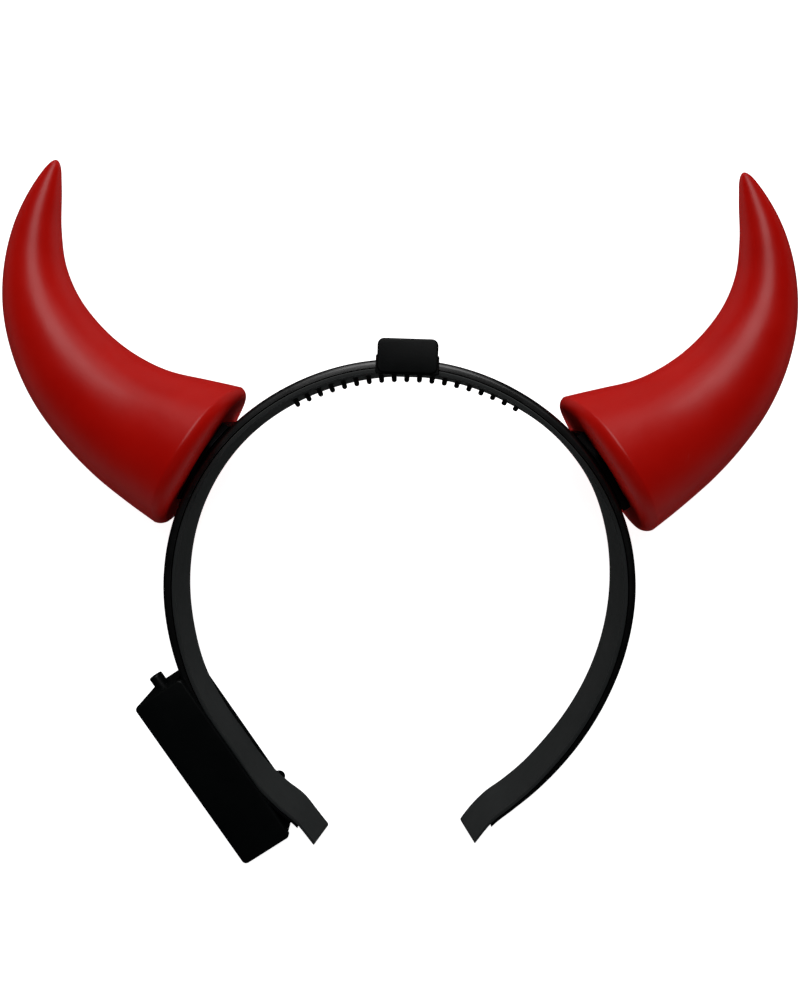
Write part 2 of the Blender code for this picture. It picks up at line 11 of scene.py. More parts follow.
import bmesh
import bpy
import numpy as np
from bpy.props import FloatProperty, FloatVectorProperty, IntProperty, PointerProperty
from mathutils import Matrix, Vector

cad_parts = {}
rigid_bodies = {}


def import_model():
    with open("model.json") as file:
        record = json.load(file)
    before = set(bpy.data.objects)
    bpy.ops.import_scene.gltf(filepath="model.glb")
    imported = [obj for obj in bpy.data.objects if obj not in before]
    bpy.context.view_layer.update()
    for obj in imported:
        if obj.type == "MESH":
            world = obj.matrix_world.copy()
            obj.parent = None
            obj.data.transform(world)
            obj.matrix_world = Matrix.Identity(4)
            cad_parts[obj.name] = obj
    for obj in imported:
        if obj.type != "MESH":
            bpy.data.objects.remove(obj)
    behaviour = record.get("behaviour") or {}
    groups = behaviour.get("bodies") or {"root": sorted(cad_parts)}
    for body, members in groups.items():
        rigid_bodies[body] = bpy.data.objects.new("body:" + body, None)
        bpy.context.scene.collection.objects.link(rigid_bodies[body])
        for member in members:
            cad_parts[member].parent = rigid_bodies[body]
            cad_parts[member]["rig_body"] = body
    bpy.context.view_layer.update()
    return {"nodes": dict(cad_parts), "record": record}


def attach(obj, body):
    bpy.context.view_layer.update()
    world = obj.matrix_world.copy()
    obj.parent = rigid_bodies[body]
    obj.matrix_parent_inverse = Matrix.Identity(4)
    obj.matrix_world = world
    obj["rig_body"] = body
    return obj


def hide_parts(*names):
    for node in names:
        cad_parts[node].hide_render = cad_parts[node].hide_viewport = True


bl_info = {
    "name": "Devil horns headband",
    "version": (1, 0, 0),
    "blender": (4, 5, 0),
    "location": "3D View > Sidebar > Headband",
    "description": "Builds the surfaces, plastics and stage of a devil horns headband",
    "category": "Object",
}

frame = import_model()

# Band sections: angle in degrees, inner radius as a share of the band's radius, thickness as a share
# of its thickness, and twist in degrees, which sets the back edge further out than the front edge
BAND_SECTIONS = np.array((
    (-166.0, 1.288, 0.52, 0.0),
    (-162.0, 1.226, 0.52, 0.0),
    (-158.0, 1.173, 0.52, 0.0),
    (-152.0, 1.140, 0.56, 1.0),
    (-144.0, 1.102, 0.62, 2.0),
    (-136.0, 1.061, 0.70, 3.0),
    (-126.0, 1.039, 0.80, 3.2),
    (-116.0, 1.027, 0.88, 3.0),
    (-104.0, 1.012, 0.96, 1.5),
    (-88.0, 1.004, 1.00, 0.0),
    (-70.0, 0.9995, 1.00, -0.6),
    (-51.0, 0.992, 0.97, -1.1),
    (-30.0, 0.978, 0.95, -2.7),
    (-16.0, 0.972, 0.95, -3.5),
    (0.0, 0.971, 0.95, -2.6),
    (28.0, 0.9775, 0.98, 0.9),
    (48.0, 0.9935, 0.97, 4.7),
    (61.0, 1.003, 0.94, 4.4),
    (75.0, 1.004, 0.94, 1.5),
    (88.0, 1.003, 0.94, 0.0),
    (104.0, 1.006, 0.89, 0.0),
    (116.0, 1.015, 0.85, 0.5),
    (128.0, 1.033, 0.81, 0.5),
    (138.0, 1.057, 0.76, 0.5),
    (146.0, 1.086, 0.64, 0.5),
    (152.0, 1.110, 0.56, 0.0),
    (158.0, 1.142, 0.56, -1.5),
    (162.0, 1.191, 0.56, -4.0),
    (166.0, 1.260, 0.56, -5.0),
))

# Horn sections: distance past the rounded base edge as a share of what is left of the reach, sideways
# place as a share of the rise, radius as a share of the base radius, heading in degrees
HORN_SECTIONS = np.array((
    (0.000, 0.000, 1.000, 0.0),
    (0.130, -0.032, 0.898, 0.0),
    (0.263, -0.050, 0.800, 3.0),
    (0.409, -0.028, 0.711, 10.5),
    (0.550, 0.031, 0.631, 21.0),
    (0.679, 0.129, 0.544, 32.0),
    (0.793, 0.266, 0.448, 45.0),
    (0.881, 0.439, 0.353, 59.0),
    (0.942, 0.640, 0.266, 70.0),
    (0.980, 0.852, 0.160, 77.0),
    (0.997, 0.970, 0.080, 78.0),
))

# Peg sections: height as a share of the peg's length and radius as a share of its radius
PEG_SECTIONS = np.array(((-0.20, 1.30), (0.00, 1.26), (0.06, 1.08), (0.16, 1.00), (0.70, 0.97)))


def length(name, description, default):
    """A size in metres for a property group."""
    return FloatProperty(name=name, description=description, default=default, min=0.0, precision=5,
                         unit="LENGTH")


def colour(name, description, default):
    """A colour for a property group."""
    return FloatVectorProperty(name=name, description=description, default=default, size=3,
                               subtype="COLOR", min=0.0, max=1.0)


def angle(name, description, degrees):
    """An angle for a property group, with its default in degrees."""
    return FloatProperty(name=name, description=description, default=math.radians(degrees),
                         subtype="ANGLE")


class BandSizes(bpy.types.PropertyGroup):
    """Sizes of the band, its comb and its ends."""

    radius: length("Inner radius", "Radius of the inner face at the sides", 0.0685)
    depth: length("Depth", "Band from back to front", 0.020)
    thickness: length("Thickness", "Wall from face to face at the left side", 0.0040)
    strip: length("Strip thickness", "Thickness of the inner strip", 0.0012)
    strip_round: length("Strip rounding", "Radius of the inner strip's long edges", 0.00025)
    gap: length("Gap", "Clearance between pieces that touch", 0.0003)
    crown: length("Crown", "Rise of the outer cover over its shoulders", 0.00045)
    shoulder: length("Shoulder", "Radius of the outer cover's shoulders", 0.0013)
    cover_end: angle("Cover end", "Angle at which the outer cover ends", 158.0)
    foot_front: angle("Foot front", "Angle at which a foot ends in front", 162.6)
    foot_back: angle("Foot back", "Angle at which a foot ends behind", 165.0)
    top_angle: angle("Top angle", "Angle of the top housing and of the comb's middle", 0.75)
    peg_count: IntProperty(name="Pegs", description="Number of comb pegs", default=19, min=1)
    peg_spacing: angle("Peg spacing", "Angle between two pegs", 3.40)
    peg_radius: length("Peg radius", "Radius of a peg's shank", 0.00082)
    peg_length: length("Peg length", "Height of a peg over the strip", 0.0027)
    peg_short: FloatProperty(name="Peg shortening", description="Share that the last right peg lacks",
                             default=0.40, min=0.0, max=0.9)
    peg_forward: length("Peg place", "Distance of the pegs in front of the strip's middle", 0.003)


class HornSizes(bpy.types.PropertyGroup):
    """Places of the two horns and their walls; their outer sizes come from the frame."""

    middle_angle: angle("Middle angle", "Angle half way between the two horns", 0.25)
    spread_angle: angle("Spread", "Angle from the middle to each horn", 57.7)
    lean: angle("Lean", "Turn of both horns the same way", 1.75)
    toe_in: angle("Toe in", "Turn of each horn toward the other", 0.3)
    wall: length("Wall", "Thickness of the horn's wall", 0.0020)
    edge: length("Base edge", "Place along the horn at which its sections start", 0.0024)
    rim_side: length("Rim at the sides", "Depth of the base's rounded rim seen from the front", 0.0032)
    rim_front: length("Rim in front", "Depth of the base's rounded rim in front", 0.0042)
    rim_round: FloatProperty(name="Rim roundness", description="1 for a round rim, 0 for a chamfer",
                             default=0.80, min=0.0, max=1.0)
    sag: length("Base sag", "How far the base's ends reach round the band", 0.0013)
    slim_right: length("Right horn slimmer", "Radius that the right horn lacks", 0.0003)
    hole: length("Hole radius", "Radius of the hole in the base", 0.0116)
    seam: length("Seam", "Height of the mould seam along the horn", 0.00005)
    tip_short: length("Tip short", "How far the tip stays inside its solid's tip", 0.00020)
    inset: length("Inset", "How far the horn's skin stays inside its solid", 0.00012)


class CaseSizes(bpy.types.PropertyGroup):
    """Place and roundings of the battery case and the top housing."""

    angle: angle("Case angle", "Angle of the battery case on the ring", -124.4)
    thickness: length("Case thickness", "Case from its inner side to its outer side", 0.0174)
    corner: length("Corner", "Radius of the case's corners seen from the front", 0.0015)
    edge: length("Edge", "Radius of the case's other edges", 0.0006)
    mouth: length("Mouth", "Radius of the edges where the band goes in", 0.00035)
    saddle: length("Saddle inset", "Space between the saddle and the band's faces", 0.0002)
    lug_radius: length("Lug radius", "Radius of the round lug", 0.0020)
    lug_place: length("Lug place", "Distance of the lug from the case's lower end", 0.0118)
    cheek: length("Cheek", "Thickness of the cheeks beside the band", 0.0017)
    cover_corner: length("Cover corner", "Radius of the cover's corners", 0.0010)
    housing_collar: length("Collar step", "Step of the top housing's collar at each end", 0.0004)
    collar_rise: length("Collar rise", "Height of the collar over the band's shoulders", 0.0015)


class Finish(bpy.types.PropertyGroup):
    """Colours of the plastics."""

    horn_red: colour("Horn red", "Main colour of the horns", (0.450, 0.0042, 0.0018))
    horn_deep: colour("Horn deep red", "Colour of the horns in their denser patches",
                      (0.390, 0.0026, 0.0010))
    cover_black: colour("Cover black", "Colour of the polished outer cover", (0.0012, 0.0013, 0.0014))
    strip_black: colour("Strip black", "Colour of the inner strip", (0.0170, 0.0188, 0.0188))
    case_black: colour("Case black", "Colour of the case and the top housing", (0.0009, 0.0013, 0.0014))
    dust: colour("Dust", "Colour of the fine dust and scuffs on the black pieces", (0.010, 0.011, 0.011))
    # The strip's dust colour is also the colour of its painted edge highlight
    strip_dust_and_highlight: colour("Strip dust", "Colour of the dust on the inner strip", (0.045, 0.047, 0.047))


class StageSettings(bpy.types.PropertyGroup):
    """Camera, floor and lamps."""

    camera_height: length("Camera height", "Camera over the centre of the ring", 0.2825)
    camera_up: length("Camera offset", "Camera from the ring's centre toward the crown", 0.02765)
    camera_roll: angle("Camera roll", "Turn of the camera about its own axis", 1.1)
    focal: FloatProperty(name="Focal length", description="Focal length in pixels of the picture",
                         default=890.0, min=1.0)
    floor: colour("Floor", "Colour of the floor", (0.85, 0.85, 0.85))
    floor_glow: FloatProperty(name="Floor glow", description="Light that the lit table gives off",
                              default=0.95, min=0.0)
    lamp_power: FloatProperty(name="Lamp power", description="Power of each large softbox", default=7.0,
                              min=0.0, unit="POWER")


def band_plane():
    """Matrix from the band's plane to the frame, from the record's head seat."""
    seat = next(mount for mount in frame["record"]["mounts"] if mount["name"] == "head_seat")
    front = Vector(seat["axis"]).normalized()
    right = Vector((1.0, 0.0, 0.0))
    turn = Matrix((right, front.cross(right), front)).transposed().to_4x4()
    return Matrix.Translation(seat["pos_m"]) @ turn


PLANE = band_plane()


def placed(matrix, points):
    """Points, any array with a last axis of three, moved by a matrix."""
    matrix = np.array(matrix)
    return points @ matrix[:3, :3].T + matrix[:3, 3]


def smooth_curve(places, values, wanted):
    """Cubic through the given values, with each slope taken from its neighbours, at the wanted places."""
    slopes = np.gradient(values, places)
    wanted = np.clip(wanted, places[0], places[-1])
    index = np.clip(np.searchsorted(places, wanted) - 1, 0, len(places) - 2)
    span = places[index + 1] - places[index]
    t = (wanted - places[index]) / span
    start = (2 * t**3 - 3 * t**2 + 1) * values[index] + (t**3 - 2 * t**2 + t) * span * slopes[index]
    end = (3 * t**2 - 2 * t**3) * values[index + 1] + (t**3 - t**2) * span * slopes[index + 1]
    return start + end


def band_shape(turn):
    """Inner radius, thickness and twist of the band at angles from the crown, all in radians."""
    sizes = bpy.context.scene.band_sizes
    places = np.radians(BAND_SECTIONS[:, 0])
    radius, thickness, twist = (smooth_curve(places, BAND_SECTIONS[:, column], turn)
                                for column in (1, 2, 3))
    return radius * sizes.radius, thickness * sizes.thickness, np.radians(twist)


def band_point(turn, height, forward):
    """Places on the band. The section is turned by its twist about the middle of the wall, then its
    height adds to the radius and its place from back to front becomes z."""
    radius, thickness, twist = band_shape(turn)
    rise = height - thickness / 2
    radial = radius + thickness / 2 + rise * np.cos(twist) - forward * np.sin(twist)
    depth = forward * np.cos(twist) + rise * np.sin(twist)
    return np.stack([radial * np.sin(turn), radial * np.cos(turn), depth], axis=-1)


def seat_frame(turn, radius, lean=0.0):
    """A frame on the ring: X along it clockwise, Y outward, Z to the front, turned by a lean."""
    outward = Vector((math.sin(turn), math.cos(turn), 0.0)) * radius
    return Matrix.Translation(outward) @ Matrix.Rotation(lean - turn, 4, "Z")


def node_corners(node, local):
    """Corners of a CAD node in a frame of the band's plane."""
    mesh = frame["nodes"][node].data
    corners = np.zeros(len(mesh.vertices) * 3, np.float32)
    mesh.vertices.foreach_get("co", corners)
    return placed((PLANE @ local).inverted(), corners.reshape(-1, 3).astype(float))


def extent(node, local):
    """Lowest and highest place of a CAD node in a frame of the band's plane."""
    corners = node_corners(node, local)
    return corners.min(axis=0), corners.max(axis=0)


def arc(centre, radius, start, end, steps):
    """Points of a circular arc in two coordinates, from one angle to another in quarter turns."""
    turn = np.linspace(start, end, steps) * math.pi / 2
    return np.stack([centre[0] + radius * np.cos(turn), centre[1] + radius * np.sin(turn)], axis=-1)


def shell(rows):
    """A closed surface over a grid of places, rows by columns. Each row closes round, neighbours are
    joined by quads, and each end row is closed by one flat face, or runs to a point if it is tiny."""
    count, around = rows.shape[:2]
    index = np.arange(count * around).reshape(count, around)
    after = np.roll(index, -1, axis=1)
    quads = np.stack([index[:-1], after[:-1], after[1:], index[1:]], axis=-1).reshape(-1, 4)
    faces = quads.tolist() + [index[0, ::-1].tolist(), index[-1].tolist()]
    places = rows.reshape(-1, 3)
    corners = places[quads]
    volume = np.einsum("ij,ij->i", corners[:, 0], np.cross(corners[:, 1], corners[:, 2])).sum()
    volume += np.einsum("ij,ij->i", corners[:, 0], np.cross(corners[:, 2], corners[:, 3])).sum()
    for ring in (places[index[0, ::-1]], places[index[-1]]):
        volume += np.einsum("j,ij->i", ring[0], np.cross(ring[1:-1], ring[2:])).sum()
    if volume < 0:
        faces = [face[::-1] for face in faces]
    return places, faces


def mesh_of(name, shells):
    """One mesh from several closed surfaces."""
    places, faces, offset = [], [], 0
    for corners, loops in shells:
        places.append(corners)
        faces += [[offset + corner for corner in loop] for loop in loops]
        offset += len(corners)
    mesh = bpy.data.meshes.new(name)
    mesh.from_pydata(np.concatenate(places).tolist(), [], faces)
    work = bmesh.new()
    work.from_mesh(mesh)
    bmesh.ops.remove_doubles(work, verts=work.verts, dist=1e-7)
    work.to_mesh(mesh)
    work.free()
    return mesh


def add_piece(name, mesh, material, node, sharp=35.0):
    """Links a finished mesh, shades it, and lets it stand for its CAD node on that node's body."""
    mesh.materials.clear()
    mesh.materials.append(material)
    mesh.shade_smooth()
    mesh.set_sharp_from_angle(angle=math.radians(sharp))
    piece = bpy.data.objects.new(name, mesh)
    bpy.context.scene.collection.objects.link(piece)
    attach(piece, frame["nodes"][node]["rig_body"])
    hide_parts(node)
    return piece


def cut(mesh, cutters, name):
    """A mesh with closed cutter meshes taken away."""
    item = bpy.data.objects.new(name, mesh)
    bpy.context.scene.collection.objects.link(item)
    others = []
    for cutter in cutters:
        other = bpy.data.objects.new(name + "_cutter", cutter)
        bpy.context.scene.collection.objects.link(other)
        modifier = item.modifiers.new("cut", "BOOLEAN")
        modifier.operation = "DIFFERENCE"
        modifier.solver = "EXACT"
        modifier.object = other
        others.append(other)
    bpy.context.view_layer.update()
    result = bpy.data.meshes.new_from_object(item.evaluated_get(bpy.context.evaluated_depsgraph_get()))
    for thing in others + [item]:
        bpy.data.objects.remove(thing, do_unlink=True)
    return result


def band_stations(low, high, step_degrees):
    """Evenly spaced angles from low to high, in radians."""
    return np.linspace(low, high, int(math.degrees(high - low) / step_degrees) + 1)


def cover_section(turn, floor):
    """Sections of the outer cover at given angles, as heights and places from back to front. The floor
    and sides are straight, the shoulders are quarter circles and the crown is a parabola."""
    sizes = bpy.context.scene.band_sizes
    top = band_shape(turn)[1]
    half = sizes.depth / 2
    bend = np.minimum(sizes.shoulder, 0.6 * (top - sizes.strip - sizes.gap))
    quarter = np.linspace(0.0, math.pi / 2, 7)
    shoulder_out = half - bend[:, None] * (1 - np.cos(quarter))
    shoulder_up = (top - bend)[:, None] + bend[:, None] * np.sin(quarter)
    share = np.linspace(1.0, 0.0, 12)[1:]
    crown_out = (half - bend)[:, None] * share
    crown_up = top[:, None] + sizes.crown * (1 - share**2)
    forward = np.concatenate([shoulder_out[:, :1], shoulder_out, crown_out], axis=1)
    height = np.concatenate([np.full((len(turn), 1), 0.0), shoulder_up, crown_up], axis=1)
    height[:, 0] = floor
    return (np.concatenate([forward, -forward[:, -2::-1]], axis=1),
            np.concatenate([height, height[:, -2::-1]], axis=1))


def cover_rows(turn, floor, inset):
    """Rows of places round the outer cover. An inset shrinks a row toward the middle of its section."""
    forward, height = cover_section(turn, floor)
    middle = height.mean(axis=1, keepdims=True)
    height = middle + (height - middle) * (1 - inset[:, None])
    forward = forward * (1 - inset[:, None] / 8)
    return band_point(turn[:, None], height, forward)


def outer_band():
    """The outer cover from end to end, with a small rounding at both ends."""
    sizes = bpy.context.scene.band_sizes
    end, lip = sizes.cover_end, 0.0012
    inner = end - math.radians(0.25)
    turn = band_stations(-inner, inner, 1.0)
    turn = np.concatenate([[-end, -end + lip], turn, [end - lip, end]])
    inset = np.zeros(len(turn))
    inset[[0, -1]] = 0.35
    inset[[1, -2]] = 0.10
    rows = cover_rows(turn, sizes.strip + sizes.gap, inset)
    return mesh_of("outer_band", [shell(placed(PLANE, rows))])


def strip_rows():
    """Rows of places round the inner strip: a rounded rectangle carried along the band, whose last
    degrees slant from front to back so that each foot ends on its own line."""
    sizes = bpy.context.scene.band_sizes
    half, low_round, top = sizes.depth / 2, sizes.strip_round, sizes.strip
    corners = [arc((half - low_round, low_round), low_round, -1.0, 0.0, 5),
               arc((half - low_round, top - low_round), low_round, 0.0, 1.0, 5)]
    front = np.concatenate(corners)
    across = np.linspace(front[-1, 0], -front[-1, 0], 14)[1:-1]
    lid = np.stack([across, np.full(len(across), top)], axis=-1)
    back = front[::-1] * (-1.0, 1.0)
    bed = np.stack([-across, np.zeros(len(across))], axis=-1)
    loop = np.concatenate([front, lid, back, bed])
    body = band_stations(-sizes.cover_end, sizes.cover_end, 1.0)
    share = loop[:, 0] / sizes.depth + 0.5
    end = sizes.foot_back + (sizes.foot_front - sizes.foot_back) * share
    steps = np.array([0.2, 0.4, 0.6, 0.8, 0.95, 0.985, 1.0])[:, None]
    foot = sizes.cover_end + (end - sizes.cover_end) * steps
    turn = np.concatenate([-foot[::-1], np.repeat(body[:, None], len(loop), axis=1), foot])
    height = np.repeat(loop[None, :, 1], len(turn), axis=0)
    for row, shrink in ((0, 0.5), (1, 0.12), (-2, 0.12), (-1, 0.5)):
        height[row] = top / 2 + (height[row] - top / 2) * (1 - shrink)
    return band_point(turn, height, np.repeat(loop[None, :, 0], len(turn), axis=0))


def mark_painted_highlight(mesh):
    """Marks the rounded front edges of the strip near the comb for a painted highlight, a lighter line
    that stands in for light caught on them: 1 on the points of their arcs at the crown, down to 0 where
    the angle from the crown reaches its end."""
    sizes = bpy.context.scene.band_sizes
    corners = np.zeros(len(mesh.vertices) * 3, np.float32)
    mesh.vertices.foreach_get("co", corners)
    corners = placed(PLANE.inverted(), corners.reshape(-1, 3).astype(float))
    turn = np.arctan2(corners[:, 0], corners[:, 1])
    radius, thickness, twist = band_shape(turn)
    rise = np.hypot(corners[:, 0], corners[:, 1]) - radius - thickness / 2
    height = rise * np.cos(twist) + corners[:, 2] * np.sin(twist) + thickness / 2
    forward = corners[:, 2] * np.cos(twist) - rise * np.sin(twist)
    low_round, half = sizes.strip_round, sizes.depth / 2
    away = np.minimum(height, sizes.strip - height)
    on_arc = (forward > half - 0.9 * low_round) & (away < 0.9 * low_round) & (away > -low_round)
    fade = np.clip((math.radians(62.0) - np.abs(turn)) / math.radians(30.0), 0.0, 1.0)
    painted_edge_highlight = mesh.attributes.new("painted_edge_highlight", "FLOAT", "POINT")
    painted_edge_highlight.data.foreach_set("value", (on_arc * fade).astype(np.float32))


def peg_shells():
    """Comb pegs: each is a turned shank with a flared root and a half-round tip, and points to the
    ring's centre."""
    sizes = bpy.context.scene.band_sizes
    around = np.linspace(0.0, 2 * math.pi, 25)[:-1]
    tip = arc((0.0, 0.0), 1.0, 0.0, 0.97, 7)
    last_height, last_radius = PEG_SECTIONS[-1]
    heights = np.concatenate([PEG_SECTIONS[:, 0], last_height + (1 - last_height) * tip[1:, 1]])
    radii = np.concatenate([PEG_SECTIONS[:, 1], last_radius * tip[1:, 0]])
    ring = np.stack([np.cos(around), np.zeros(len(around)), np.sin(around)], axis=-1)
    profile = ring[None] * (radii * sizes.peg_radius)[:, None, None]
    for number in range(sizes.peg_count):
        turn = sizes.top_angle + (number - (sizes.peg_count - 1) / 2) * sizes.peg_spacing
        root = band_point(np.array(turn), 0.0, sizes.peg_forward)
        seat = seat_frame(turn, math.hypot(root[0], root[1]))
        seat.translation.z = root[2]
        share = 1.0 - sizes.peg_short * max(0.0, 2.0 * number / (sizes.peg_count - 1) - 1.0)
        profile[..., 1] = -heights[:, None] * sizes.peg_length * share
        yield shell(placed(PLANE @ seat, profile))


def horn_seat(side):
    """Frame of a horn, with its origin in the middle of the flat base."""
    sizes = bpy.context.scene.horn_sizes
    turn = sizes.middle_angle + side * sizes.spread_angle
    local = seat_frame(turn, 0.0, sizes.lean + side * sizes.toe_in)
    outward = seat_frame(turn, 1.0).translation
    node = "horn_right" if side > 0 else "horn_left"
    low, high = extent(node, local)
    base_radius = (high[2] - low[2]) / 2
    along = (local.inverted() @ outward).normalized()
    radius = low[1] / along.y
    seat = seat_frame(turn, radius, sizes.lean + side * sizes.toe_in)
    corners = node_corners(node, seat)
    tip = corners[np.argmax(-side * corners[:, 0])]
    return seat, tip[1], -side * tip[0], base_radius


def horn_curve(reach, rise, base_radius, edge, count):
    """Sections of a horn after its base edge, evenly spaced along its axis: place along and across,
    radius and heading."""
    along = edge + HORN_SECTIONS[:, 0] * (reach - edge)
    across = HORN_SECTIONS[:, 1] * rise
    run = np.concatenate([[0.0], np.cumsum(np.hypot(np.diff(along), np.diff(across)))])
    wanted = run[-1] * np.linspace(0.0, 1.0, count)
    columns = (along, across, HORN_SECTIONS[:, 2] * base_radius, np.radians(HORN_SECTIONS[:, 3]))
    return np.stack([smooth_curve(run, values, wanted) for values in columns], axis=-1)


def horn_rows(sections, side, around, seam):
    """Rings of a horn in its seat frame, from sections by ring and angle. A ring is a circle square to
    the heading, raised by the mould seam in two narrow ridges on the inner and the outer curve."""
    along, across, radius, heading = (sections[..., column] for column in range(4))
    ridge = np.exp(-(np.sin(around) / 0.018)**2)
    radius = radius + seam * ridge * np.clip(radius / 0.004, 0.0, 1.0)
    offset = radius * np.cos(around)
    return np.stack([-side * (across + offset * np.cos(heading)),
                     along - offset * np.sin(heading),
                     radius * np.sin(around)], axis=-1)


def ring_angles(count):
    """Angles round a horn, drawn together at the mould seam on both sides."""
    even = np.linspace(0.0, 2 * math.pi, count + 1)[:-1]
    return even - 0.30 * np.sin(2 * even)


def rim_sections(body, around, hole):
    """Sections of the rounded base rim by ring and angle, and the part of the body that it takes up.
    The rim is deep at the front and the back of the horn and short at its sides: a quarter ellipse
    mixed with its chord, so that a soft crease stays where it meets the body. Past the seat the base
    sags round the band, by the square of the distance."""
    sizes = bpy.context.scene.horn_sizes
    last, seat_reach, ledge = 0.016, 0.012, 0.0004
    depth = sizes.rim_side + (sizes.rim_front - sizes.rim_side) * np.abs(np.sin(around))**1.5
    shoulder = np.interp(depth, body[:, 0], body[:, 2])
    aside = np.interp(depth, body[:, 0], body[:, 1])
    drop = np.minimum(depth, shoulder - hole - ledge)
    bend = np.linspace(0.0, math.pi / 2, 16)[:, None]
    straight = bend / (math.pi / 2)
    mix = sizes.rim_round
    up = mix * (1 - np.cos(bend)) + (1 - mix) * straight
    inward = mix * (1 - np.sin(bend)) + (1 - mix) * (1 - straight)
    rim = np.stack([depth * up, aside * up, shoulder - drop * inward, 0.0 * depth * up], axis=-1)
    start = np.linspace(0.0, 1.0, 26)[1:, None]
    along = depth + (last - depth) * start
    rise = np.stack([along] + [np.interp(along, body[:, 0], body[:, column]) for column in (1, 2, 3)],
                    axis=-1)
    aside = rim[..., 2] * np.abs(np.cos(around))
    far = np.clip((aside - seat_reach) / (body[0, 2] - seat_reach), 0.0, 1.0)**2
    rim[..., 0] -= sizes.sag * far
    rise[..., 0] -= sizes.sag * far[-1] * (1 - start)**2
    flat = np.stack([0.0 * shoulder, 0.0 * shoulder, hole + 0.5 * (rim[0, :, 2] - hole), 0.0 * shoulder],
                    axis=-1)
    return np.concatenate([flat[None], rim, rise]), body[body[:, 0] > last + 0.0003]


def whole_rings(sections, around):
    """Sections repeated for every angle round the horn."""
    return np.repeat(np.asarray(sections)[:, None, :], len(around), axis=1)


def horn(side):
    """A hollow horn: the flat base from its hole, the round rim, the long curved body to the tip, and
    the same form one wall further in."""
    sizes = bpy.context.scene.horn_sizes
    seat, reach, rise, base_radius = horn_seat(side)
    slim = sizes.slim_right if side > 0 else 0.0
    rise -= sizes.tip_short
    around = ring_angles(144)
    body = horn_curve(reach, rise, base_radius, sizes.edge, 170)
    body[:, 2] -= sizes.inset
    thinner = slim * np.clip(body[:, 0] / 0.02, 0.0, 1.0) * np.clip(body[:, 2] / 0.01, 0.0, 1.0)
    body[:, 2] -= thinner
    body[:, 1] += thinner
    body = body[np.hypot(reach - body[:, 0], rise - body[:, 1]) > 1.5 * body[:, 2]]
    tip_along, tip_across, tip_radius, tip_heading = body[-1]
    left = math.hypot(reach - tip_along, rise - tip_across)
    taper = (body[-2, 2] - tip_radius) / math.hypot(tip_along - body[-2, 0], tip_across - body[-2, 1])
    swell = 1.0 - 2.0 * taper * left / tip_radius
    nose = [(tip_along + (reach - tip_along) * share, tip_across + (rise - tip_across) * share,
             tip_radius * math.sqrt((1.0 - share) * (1.0 + swell * share)), tip_heading)
            for share in 1.0 - np.linspace(1.0, 0.02, 14)[1:]**2]
    rim, rest = rim_sections(body, around, sizes.hole)
    start = [(0.0, 0.0, sizes.hole, 0.0)]
    outside = np.concatenate([whole_rings(start, around), rim,
                              whole_rings(np.concatenate([rest, nose]), around)])
    inner = horn_curve(reach, rise, base_radius, sizes.edge, 60)
    inner = inner[inner[:, 2] > 2 * sizes.wall]
    inner[:, 2] -= sizes.wall + slim
    inner[:, 0] = np.maximum(inner[:, 0], sizes.wall + sizes.edge / 2)
    inner = inner[inner[:, 0] > sizes.rim_front + sizes.wall]
    well = [(sizes.wall, 0.0, sizes.hole, 0.0), (sizes.rim_front, 0.0, sizes.hole + 0.0008, 0.0)]
    end = inner[-1]
    hollow_end = [(end[0] + end[2] * step * math.cos(end[3]), end[1] + end[2] * step * math.sin(end[3]),
                   end[2] * math.sqrt(1 - step**2), end[3]) for step in (0.4, 0.7, 0.9, 0.99)]
    inside = whole_rings(np.concatenate([well, inner, hollow_end])[::-1], around)
    rows = np.concatenate([horn_rows(inside, side, around, 0.0),
                           horn_rows(outside, side, around, sizes.seam)])
    return mesh_of("horn", [shell(placed(PLANE @ seat, rows))])


def rounded_rectangle(low, high, radius, steps):
    """Corner places of a rectangle with round corners, counter-clockwise in two coordinates."""
    centres = ((high[0] - radius, high[1] - radius), (low[0] + radius, high[1] - radius),
               (low[0] + radius, low[1] + radius), (high[0] - radius, low[1] + radius))
    return np.concatenate([arc(centre, radius, quarter, quarter + 1, steps)
                           for quarter, centre in enumerate(centres)])


def rounded_block(low, high, corner, edge, local, axes=(0, 1, 2), steps=8):
    """A block as a rounded rectangle carried along its third axis, which draws in by a quarter circle
    at both ends."""
    quarter = np.linspace(0.0, math.pi / 2, 6)
    draw, rise = edge * (1 - np.sin(quarter)), edge * (1 - np.cos(quarter))
    inset = np.concatenate([draw, draw[::-1]])
    level = np.concatenate([low[2] + rise, high[2] - rise[::-1]])
    rows = []
    for drawn, place in zip(inset, level):
        outline = rounded_rectangle((low[0] + drawn, low[1] + drawn), (high[0] - drawn, high[1] - drawn),
                                    corner - min(drawn, corner * 0.9), steps)
        rows.append(np.column_stack([outline, np.full(len(outline), place)]))
    rows = np.array(rows)
    ordered = np.empty_like(rows)
    for source, target in enumerate(axes):
        ordered[..., target] = rows[..., source]
    return shell(placed(PLANE @ local, ordered))


def band_line(local, height, places):
    """Height of the band's outer face in a piece's own frame at places along it, the higher of its
    front, middle and back lines."""
    turn = band_stations(-math.radians(160), math.radians(160), 0.5)
    lines, near_edge = [], 0.0095
    for forward in (-near_edge, 0.0, near_edge):
        points = placed(local.inverted(), band_point(turn, band_shape(turn)[1] + height, forward))
        near = points[:, 1] > 0.3 * points[:, 1].max()
        order = np.argsort(points[near, 0])
        lines.append(np.interp(places, points[near, 0][order], points[near, 1][order]))
    return np.max(lines, axis=0)


